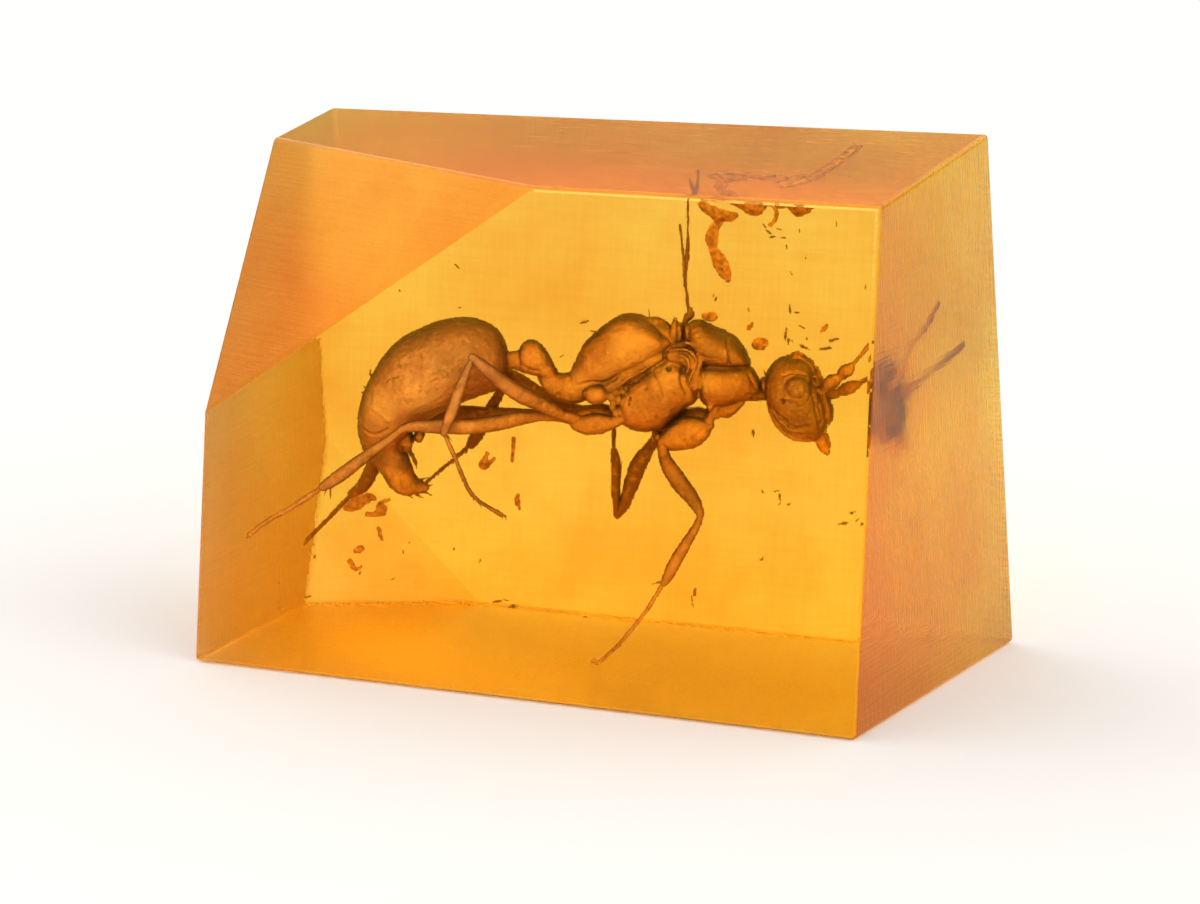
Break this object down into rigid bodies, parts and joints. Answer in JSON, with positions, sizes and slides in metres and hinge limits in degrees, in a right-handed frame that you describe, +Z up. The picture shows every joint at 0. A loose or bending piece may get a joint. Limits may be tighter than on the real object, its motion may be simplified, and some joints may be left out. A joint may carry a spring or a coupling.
{
  "type": "insect in amber",
  "caption": "Small cut and polished block of clear fossil resin that encloses a wingless ant and scraps of plant debris, for display or study.",
  "frame": {"origin": "on the ground plane, under the middle of the block's bounding box", "axes": "+X along the block's long front edge, towards the ant's head; +Y towards the block's back; +Z up"},
  "size_m": [0.0158, 0.0066, 0.0107],
  "materials": {
    "amber": "clear resin, polished front face, the other faces fine-ground",
    "ant_chitin": "satin",
    "debris": "dull, crumbled"
  },
  "bodies": {
    "root": {"amber_front": "amber", "amber_back": "amber", "ant": "ant_chitin", "hanging_flake": "debris", "torn_crumb": "debris", "hooked_thread": "debris", "wedge_crumb": "debris", "twig": "debris", "pebble_left": "debris", "pebble_right": "debris", "tail_grain": "debris", "tail_flake": "debris", "low_sliver": "debris", "low_grain": "debris", "low_hook": "debris", "forked_flake": "debris", "upright_sliver": "debris", "middle_flake": "debris", "back_chip": "debris", "head_chip": "debris"}
  },
  "joints": []
}
